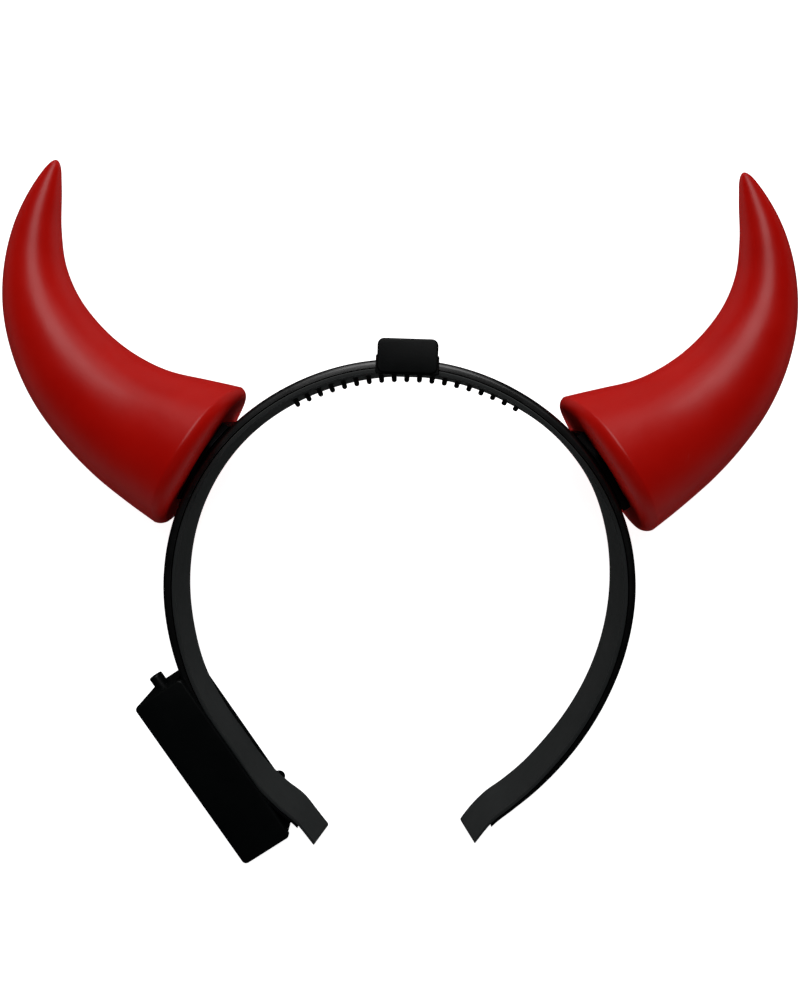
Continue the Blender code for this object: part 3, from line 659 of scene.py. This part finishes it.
def channel(local, places, floor, depth, mouth_level, mouth):
    """A cutter for the band's way through a piece: a flat-sided channel with a flared, rounded mouth at
    a level, and a floor that follows the band."""
    sizes = bpy.context.scene.band_sizes
    wall = sizes.depth / 2 + sizes.gap
    flare = arc((wall + mouth, mouth_level + mouth), mouth, -1.0, -2.0, 7)
    side = np.concatenate([[(wall + mouth, mouth_level - depth)], flare])
    inner_round = arc((wall - mouth, -mouth), mouth, 0.0, 1.0, 5)
    rows = []
    for place, top in zip(places, floor):
        up = np.concatenate([side, inner_round + (0.0, max(top, mouth_level + 3 * mouth))])
        loop = np.concatenate([up, up[::-1] * (-1.0, 1.0)])
        rows.append(np.column_stack([np.full(len(loop), place), loop[:, 1], loop[:, 0]]))
    return shell(placed(PLANE @ local, np.array(rows)))


def turned(profile, local, sides=72):
    """A turned piece about its own Y axis from rows of height and radius."""
    around = np.linspace(0.0, 2 * math.pi, sides + 1)[:-1]
    ring = np.stack([np.cos(around), np.zeros(sides), np.sin(around)], axis=-1)
    rows = ring[None] * np.array(profile)[:, 1, None, None]
    rows[..., 1] = np.array(profile)[:, 0, None]
    return shell(placed(PLANE @ local, rows))


def case_places():
    """Frame of the battery case, with Y out of its inner side, and its corners and its cover's."""
    sizes = bpy.context.scene.case_sizes
    local = seat_frame(sizes.angle, 0.0)
    low, high = extent("battery_case", local)
    inner_side = high[1] - sizes.thickness
    local = seat_frame(sizes.angle, inner_side)
    low, high = extent("battery_case", local)
    return local, np.array([low[0], 0.0, low[2]]), high, extent("battery_cover", local)


def battery_case():
    """The case: a rounded block less the band's channel and the cover's recess, with the saddle behind
    the band and the round lug on the back cheek."""
    sizes, band = bpy.context.scene.case_sizes, bpy.context.scene.band_sizes
    local, low, high, (cover_low, cover_high) = case_places()
    body = mesh_of("battery_case", [rounded_block(low, high, sizes.corner, sizes.edge, local)])
    places = np.linspace(low[0] - 0.002, high[0] + 0.002, 90)
    line = band_line(local, band.crown, places)
    way = mesh_of("way", [channel(local, places, line + band.gap, 0.004, 0.0, sizes.mouth)])
    gap = band.gap
    recess_low = (cover_low[0] - gap, cover_low[2] - gap, cover_low[1] - gap)
    recess_high = (cover_high[0] + gap, cover_high[2] + gap, cover_high[1] + 0.004)
    recess = mesh_of("recess", [rounded_block(recess_low, recess_high, sizes.cover_corner, 0.0002, local,
                                              axes=(0, 2, 1))])
    body = cut(body, [way, recess], "battery_case")
    saddle = saddle_shell(local, low, line)
    lug = lug_shell(local, low)
    return join_meshes("battery_case", [body, mesh_of("saddle", [saddle, lug])])


def join_meshes(name, meshes):
    """One mesh from several."""
    work = bmesh.new()
    for mesh in meshes:
        work.from_mesh(mesh)
    joined = bpy.data.meshes.new(name)
    work.to_mesh(joined)
    work.free()
    return joined


def saddle_shell(local, low, line):
    """The block that fills the wedge between the case and the band: its inner face follows the band."""
    sizes, band = bpy.context.scene.case_sizes, bpy.context.scene.band_sizes
    half = band.depth / 2 - sizes.saddle - band.gap
    saddle_end = low[0] + 0.018
    places = np.linspace(low[0] + band.gap, saddle_end, 30)
    floor = band_line(local, band.crown, places) + band.gap
    rows = []
    for place, level in zip(places, floor):
        outline = rounded_rectangle((-half, level), (half, max(level, 0.0) + 0.004), band.strip_round, 4)
        rows.append(np.column_stack([np.full(len(outline), place), outline[:, 1], outline[:, 0]]))
    return shell(placed(PLANE @ local, np.array(rows)))


def lug_shell(local, low):
    """The round lug on the back cheek, a short disc with a rounded rim."""
    sizes, ease = bpy.context.scene.case_sizes, 0.0003
    thickness = sizes.cheek - sizes.edge
    rim = arc((thickness - ease, sizes.lug_radius - ease), ease, 1.0, 0.0, 5)
    profile = [(0.0, sizes.lug_radius)] + [tuple(point) for point in rim]
    place = Matrix.Translation((low[0] + sizes.lug_place, 0.0, low[2] + sizes.cheek))
    return turned(profile, local @ place @ Matrix.Rotation(-math.pi / 2, 4, "X"), 40)


def battery_cover():
    """The cover: a flat plate with round corners, flush with the case's outer side."""
    sizes = bpy.context.scene.case_sizes
    local, _, _, (low, high) = case_places()
    return mesh_of("battery_cover", [rounded_block((low[0], low[2], low[1]), (high[0], high[2], high[1]),
                                                   sizes.cover_corner, 0.0002, local, axes=(0, 2, 1))])


def push_button():
    """The button: a turned shank with a rounded end, and the flange that keeps it in the case."""
    local = seat_frame(bpy.context.scene.case_sizes.angle, 0.0) @ Matrix.Rotation(-math.pi / 2, 4, "Z")
    low, high = extent("push_button", local)
    centre = (low + high) / 2
    flange = (high[2] - low[2]) / 2
    flange_step, flange_rise, bend = 0.00055, 0.0012, 0.0005
    shank, top, bottom = flange - flange_step, high[1], low[1]
    local = local @ Matrix.Translation((centre[0], 0.0, centre[2]))
    end = arc((shank - bend, top - bend), bend, 0.0, 1.0, 7)[:, ::-1]
    dish = [(top, shank * 0.6), (top - 0.00006, shank * 0.3), (top - 0.00008, shank * 0.05)]
    profile = [(bottom, flange), (bottom + flange_rise, flange), (bottom + flange_rise, shank)]
    profile += [tuple(point) for point in end] + dish
    return mesh_of("push_button", [turned(profile, local)])


def top_housing():
    """The top housing: a rounded block and a wider collar, both less the band's channel."""
    sizes, band = bpy.context.scene.case_sizes, bpy.context.scene.band_sizes
    local = seat_frame(band.top_angle, 0.0)
    low, high = extent("top_housing", local)
    step, ease, corner, edge, collar_corner = sizes.housing_collar, 0.0003, 0.0020, 0.0005, 0.0006
    inner, thickness, _ = band_shape(np.array(band.top_angle))
    collar_top = float(inner + thickness) + sizes.collar_rise
    body = rounded_block((low[0] + step, low[1] + ease, low[2]), (high[0] - step, high[1], high[2]),
                         corner, edge, local)
    collar = rounded_block((low[0], low[1], low[2] + ease), (high[0], collar_top, high[2] - ease),
                           collar_corner, ease, local)
    places = np.linspace(low[0] - 0.002, high[0] + 0.002, 24)
    line = band_line(local, band.crown, places) + band.gap
    way = mesh_of("way", [channel(local, places, line, 0.004, low[1] + ease, ease)])
    return join_meshes("top_housing", [cut(mesh_of("body", [body]), [way], "body"),
                                       cut(mesh_of("collar", [collar]), [way.copy()], "collar")])


def horn_mount(side):
    """The horn's seat as the CAD has it, with its doubled corners merged and its flat faces joined."""
    node = "horn_mount_right" if side > 0 else "horn_mount_left"
    work = bmesh.new()
    work.from_mesh(frame["nodes"][node].data)
    bmesh.ops.remove_doubles(work, verts=work.verts, dist=1e-6)
    bmesh.ops.dissolve_limit(work, angle_limit=math.radians(0.5), verts=work.verts, edges=work.edges)
    mesh = bpy.data.meshes.new(node)
    work.to_mesh(mesh)
    work.free()
    return mesh


def new_material(name):
    """A node material with its Principled shader and the object's own coordinates."""
    material = bpy.data.materials.new(name)
    material.use_nodes = True
    tree = material.node_tree
    shader = tree.nodes["Principled BSDF"]
    coordinates = tree.nodes.new("ShaderNodeTexCoord")
    return material, tree, shader, coordinates.outputs["Object"]


def noise(tree, vector, scale, detail=3.0, roughness=0.5, stretch=None):
    """Value of a noise of so many cells a metre, stretched along the axes if asked."""
    if stretch is not None:
        mapping = tree.nodes.new("ShaderNodeMapping")
        mapping.inputs["Scale"].default_value = stretch
        tree.links.new(vector, mapping.inputs["Vector"])
        vector = mapping.outputs["Vector"]
    texture = tree.nodes.new("ShaderNodeTexNoise")
    texture.inputs["Scale"].default_value = scale
    texture.inputs["Detail"].default_value = detail
    texture.inputs["Roughness"].default_value = roughness
    tree.links.new(vector, texture.inputs["Vector"])
    return texture.outputs["Fac"]


def span(tree, value, low, high, to_low, to_high):
    """A value carried from one range to another and kept inside it."""
    node = tree.nodes.new("ShaderNodeMapRange")
    for name, number in (("From Min", low), ("From Max", high), ("To Min", to_low), ("To Max", to_high)):
        node.inputs[name].default_value = number
    tree.links.new(value, node.inputs["Value"])
    return node.outputs["Result"]


def blend_colours(tree, factor, first, second):
    """Mix of two colours, each a constant or a socket."""
    node = tree.nodes.new("ShaderNodeMix")
    node.data_type = "RGBA"
    tree.links.new(factor, node.inputs["Factor"])
    for socket, value in ((node.inputs[6], first), (node.inputs[7], second)):
        if isinstance(value, bpy.types.NodeSocket):
            tree.links.new(value, socket)
        else:
            socket.default_value = (*value, 1.0)
    return node.outputs[2]


def add_values(tree, first, second):
    """Sum of two values."""
    node = tree.nodes.new("ShaderNodeMath")
    node.operation = "ADD"
    tree.links.new(first, node.inputs[0])
    tree.links.new(second, node.inputs[1])
    return node.outputs[0]


def bump(tree, height, depth, strength=1.0, below=None):
    """Bump of a height, in metres, over another bump if there is one."""
    node = tree.nodes.new("ShaderNodeBump")
    node.inputs["Strength"].default_value = strength
    node.inputs["Distance"].default_value = depth
    tree.links.new(height, node.inputs["Height"])
    if below is not None:
        tree.links.new(below, node.inputs["Normal"])
    return node.outputs["Normal"]


def horn_vinyl(finish):
    """Satin red vinyl: patches of denser red, faint flow marks, fine orange peel and light scuffs."""
    material, tree, shader, place = new_material("horn red vinyl")
    shader.inputs["Specular IOR Level"].default_value = 0.18
    patches = span(tree, noise(tree, place, 34.0, 4.0, 0.55), 0.32, 0.68, 0.0, 1.0)
    tone = blend_colours(tree, patches, tuple(finish.horn_red), tuple(finish.horn_deep))
    scuffs = span(tree, noise(tree, place, 260.0, 6.0, 0.7, (1.0, 0.16, 1.0)), 0.66, 0.80, 0.0, 1.0)
    pale = tuple(0.75 * value + 0.06 for value in finish.horn_red)
    soft = span(tree, scuffs, 0.0, 1.0, 0.0, 0.30)
    tree.links.new(blend_colours(tree, soft, tone, pale), shader.inputs["Base Color"])
    gloss = span(tree, noise(tree, place, 95.0, 5.0, 0.6), 0.3, 0.7, 0.30, 0.37)
    rough = add_values(tree, gloss, span(tree, scuffs, 0.0, 1.0, 0.0, 0.12))
    tree.links.new(rough, shader.inputs["Roughness"])
    waves = bump(tree, noise(tree, place, 70.0, 2.0), 0.00022)
    peel = bump(tree, noise(tree, place, 1500.0, 4.0, 0.6), 0.000022, 1.0, waves)
    tree.links.new(peel, shader.inputs["Normal"])
    return material


def black_plastic(name, base, dust, gloss, grain, grain_depth, shine, scratch=0.0, edge_highlight=0.0):
    """Black plastic: a mould grain, smudges that change its gloss, a little dust, fine scratches and,
    where asked, a painted highlight along marked edges.
    """
    material, tree, shader, place = new_material(name)
    shader.inputs["Specular IOR Level"].default_value = shine
    specks = span(tree, noise(tree, place, 900.0, 5.0, 0.75), 0.70, 0.82, 0.0, 0.5)
    clouds = span(tree, noise(tree, place, 60.0, 4.0, 0.6), 0.35, 0.75, 0.0, 0.10)
    dust_and_highlight = add_values(tree, specks, clouds)
    # Where asked, a painted highlight: the marked edges are lightened toward the dust colour, standing in
    # for light caught on them
    if edge_highlight:
        highlight_attribute = tree.nodes.new("ShaderNodeAttribute")
        highlight_attribute.attribute_name = "painted_edge_highlight"
        dust_and_highlight = add_values(tree, dust_and_highlight, span(tree, highlight_attribute.outputs["Fac"], 0.0, 1.0, 0.0, edge_highlight))
    tree.links.new(blend_colours(tree, dust_and_highlight, base, dust), shader.inputs["Base Color"])
    smudge = span(tree, noise(tree, place, 85.0, 5.0, 0.62), 0.3, 0.7, gloss - 0.05, gloss + 0.07)
    normal = bump(tree, noise(tree, place, grain, 3.0, 0.55), grain_depth)
    if scratch:
        lines = span(tree, noise(tree, place, 240.0, 4.0, 0.6, (1.0, 1.0, 14.0)), 0.60, 0.72, 0.0, 1.0)
        smudge = add_values(tree, smudge, span(tree, lines, 0.0, 1.0, 0.0, scratch))
        normal = bump(tree, lines, 0.000012, 1.0, normal)
    tree.links.new(smudge, shader.inputs["Roughness"])
    tree.links.new(normal, shader.inputs["Normal"])
    return material


def material_named(name):
    """A finished material by its name, made the first time that it is asked for."""
    if name in bpy.data.materials:
        return bpy.data.materials[name]
    finish = bpy.context.scene.finish
    dust = tuple(finish.dust)
    if name == "horn red vinyl":
        return horn_vinyl(finish)
    if name == "polished black cover":
        return black_plastic(name, tuple(finish.cover_black), dust, gloss=0.30, grain=1100.0,
                             grain_depth=0.000006, shine=0.50, scratch=0.08)
    # The strip carries a painted highlight on its marked front edges near the crown
    if name == "satin black strip":
        return black_plastic(name, tuple(finish.strip_black), tuple(finish.strip_dust_and_highlight), gloss=0.55,
                             grain=2200.0, grain_depth=0.000016, shine=0.10, edge_highlight=0.9)
    if name == "grained black case":
        return black_plastic(name, tuple(finish.case_black), dust, gloss=0.42, grain=2600.0,
                             grain_depth=0.000020, shine=0.12)
    return black_plastic("smooth black button", tuple(finish.case_black), dust, gloss=0.36, grain=1800.0,
                         grain_depth=0.000008, shine=0.15)


class HEADBAND_OT_horns(bpy.types.Operator):
    """Build the two hollow red horns"""

    bl_idname = "headband.horns"
    bl_label = "Horns"

    def execute(self, context):
        """Builds each horn and lets it stand for its CAD node."""
        for name, side in (("horn_left", -1), ("horn_right", 1)):
            add_piece(name + "_skin", horn(side), material_named("horn red vinyl"), name, 30.0)
        return {"FINISHED"}


class HEADBAND_OT_bands(bpy.types.Operator):
    """Build the outer cover and the inner strip with its comb"""

    bl_idname = "headband.bands"
    bl_label = "Bands"

    def execute(self, context):
        """Builds both layers of the band."""
        add_piece("outer_band_skin", outer_band(), material_named("polished black cover"), "outer_band")
        strip = mesh_of("inner_band", [shell(placed(PLANE, strip_rows()))] + list(peg_shells()))
        # Marks the strip's front edges near the crown for their painted highlight
        mark_painted_highlight(strip)
        add_piece("inner_band_skin", strip, material_named("satin black strip"), "inner_band")
        return {"FINISHED"}


class HEADBAND_OT_housing(bpy.types.Operator):
    """Build the top housing"""

    bl_idname = "headband.housing"
    bl_label = "Top housing"

    def execute(self, context):
        """Builds the housing that straddles the crown of the band."""
        add_piece("top_housing_skin", top_housing(), material_named("grained black case"), "top_housing")
        return {"FINISHED"}


class HEADBAND_OT_mounts(bpy.types.Operator):
    """Build the seats of the two horns"""

    bl_idname = "headband.mounts"
    bl_label = "Horn mounts"

    def execute(self, context):
        """Builds the seat under each horn."""
        for name, side in (("horn_mount_left", -1), ("horn_mount_right", 1)):
            add_piece(name + "_skin", horn_mount(side), material_named("grained black case"), name)
        return {"FINISHED"}


class HEADBAND_OT_case(bpy.types.Operator):
    """Build the battery case with its cover and button"""

    bl_idname = "headband.case"
    bl_label = "Battery case"

    def execute(self, context):
        """Builds the case, the cover and the push button."""
        add_piece("battery_case_skin", battery_case(), material_named("grained black case"),
                  "battery_case")
        add_piece("battery_cover_skin", battery_cover(), material_named("grained black case"),
                  "battery_cover")
        add_piece("push_button_skin", push_button(), material_named("smooth black button"),
                  "push_button")
        return {"FINISHED"}


def area_lamp(name, place, target, size, power, shows=True):
    """A rectangular softbox at a place, turned toward a target, which may stay out of reflections."""
    lamp = bpy.data.lights.new(name, "AREA")
    lamp.shape = "RECTANGLE"
    lamp.size, lamp.size_y = size
    lamp.energy = power
    item = bpy.data.objects.new(name, lamp)
    item.location = place
    item.visible_glossy = shows
    item.rotation_euler = (Vector(target) - Vector(place)).to_track_quat("-Z", "Y").to_euler()
    bpy.context.scene.collection.objects.link(item)


def floor_material(settings):
    """Pale matt table that is lit a little from below."""
    material, tree, shader, place = new_material("pale table")
    tone = span(tree, noise(tree, place, 3.0, 2.0), 0.3, 0.7, 0.0, 0.02)
    shade = tuple(value * 0.97 for value in settings.floor)
    tree.links.new(blend_colours(tree, tone, tuple(settings.floor), shade), shader.inputs["Base Color"])
    shader.inputs["Roughness"].default_value = 0.9
    shader.inputs["Specular IOR Level"].default_value = 0.1
    shader.inputs["Emission Color"].default_value = (1.0, 1.0, 1.0, 1.0)
    shader.inputs["Emission Strength"].default_value = settings.floor_glow
    return material


class HEADBAND_OT_stage(bpy.types.Operator):
    """Build the floor, the lamps and the camera"""

    bl_idname = "headband.stage"
    bl_label = "Stage"

    def execute(self, context):
        """Lays the pale floor and sets lamps and camera."""
        settings = context.scene.stage_settings
        mesh = bpy.data.meshes.new("floor")
        reach = 3.0
        corners = [(-reach, -reach, 0.0), (reach, -reach, 0.0), (reach, reach, 0.0), (-reach, reach, 0.0)]
        mesh.from_pydata(corners, [], [(0, 1, 2, 3)])
        mesh.materials.append(floor_material(settings))
        floor = bpy.data.objects.new("floor", mesh)
        floor.visible_glossy = False
        context.scene.collection.objects.link(floor)

        power = settings.lamp_power
        area_lamp("key softbox", (0.0, 0.56, 0.86), (0.0, 0.0, 0.0), (0.50, 0.74), power)
        area_lamp("crown softbox", (0.0, 1.30, 0.62), (0.0, 0.05, 0.0), (1.2, 0.6), 0.55 * power)
        area_lamp("foot fill", (0.0, -1.10, 0.75), (0.0, 0.0, 0.0), (1.2, 0.5), 0.12 * power, False)

        world = bpy.data.worlds.new("studio")
        world.use_nodes = True
        background = world.node_tree.nodes["Background"]
        background.inputs["Color"].default_value = (1.0, 1.0, 1.0, 1.0)
        rays = world.node_tree.nodes.new("ShaderNodeLightPath")
        wall = span(world.node_tree, rays.outputs["Is Camera Ray"], 0.0, 1.0, 0.004, 1.0)
        world.node_tree.links.new(wall, background.inputs["Strength"])
        context.scene.world = world
        context.scene.view_settings.view_transform = "Standard"

        data = bpy.data.cameras.new("camera")
        data.sensor_width, picture_height = 36.0, 997.0
        data.lens = data.sensor_width * settings.focal / picture_height
        data.clip_start = 0.01
        camera = bpy.data.objects.new("camera", data)
        context.scene.collection.objects.link(camera)
        roll = Matrix.Rotation(settings.camera_roll, 4, "Z")
        place = PLANE.translation + roll @ Vector((0.0, settings.camera_up, settings.camera_height))
        camera.matrix_world = Matrix.Translation(place) @ roll
        context.scene.camera = camera
        return {"FINISHED"}


class HEADBAND_PT_panel(bpy.types.Panel):
    """Sizes, colours and build buttons of the headband"""

    bl_idname = "HEADBAND_PT_panel"
    bl_label = "Devil horns headband"
    bl_space_type = "VIEW_3D"
    bl_region_type = "UI"
    bl_category = "Headband"

    def draw(self, context):
        """Lists every property group and every operator."""
        for name in GROUPS:
            group = getattr(context.scene, name)
            box = self.layout.box()
            box.label(text=name.replace("_", " ").capitalize())
            for key in group.bl_rna.properties.keys():
                if key not in {"rna_type", "name"}:
                    box.prop(group, key)
        for operator in OPERATORS:
            self.layout.operator(operator.bl_idname)


GROUPS = {
    "band_sizes": BandSizes,
    "horn_sizes": HornSizes,
    "case_sizes": CaseSizes,
    "finish": Finish,
    "stage_settings": StageSettings,
}

OPERATORS = (
    HEADBAND_OT_stage,
    HEADBAND_OT_bands,
    HEADBAND_OT_housing,
    HEADBAND_OT_mounts,
    HEADBAND_OT_horns,
    HEADBAND_OT_case,
)


def register():
    """Registers the classes and hangs the property groups on the scene."""
    for item in (*GROUPS.values(), *OPERATORS, HEADBAND_PT_panel):
        bpy.utils.register_class(item)
    for name, group in GROUPS.items():
        setattr(bpy.types.Scene, name, PointerProperty(type=group))


def unregister():
    """Takes the property groups and the classes away again."""
    for name in GROUPS:
        delattr(bpy.types.Scene, name)
    for item in reversed((*GROUPS.values(), *OPERATORS, HEADBAND_PT_panel)):
        bpy.utils.unregister_class(item)


def main():
    register()
    bpy.ops.headband.stage()
    bpy.ops.headband.bands()
    bpy.ops.headband.housing()
    bpy.ops.headband.mounts()
    bpy.ops.headband.horns()
    bpy.ops.headband.case()


if __name__ == "__main__":
    main()
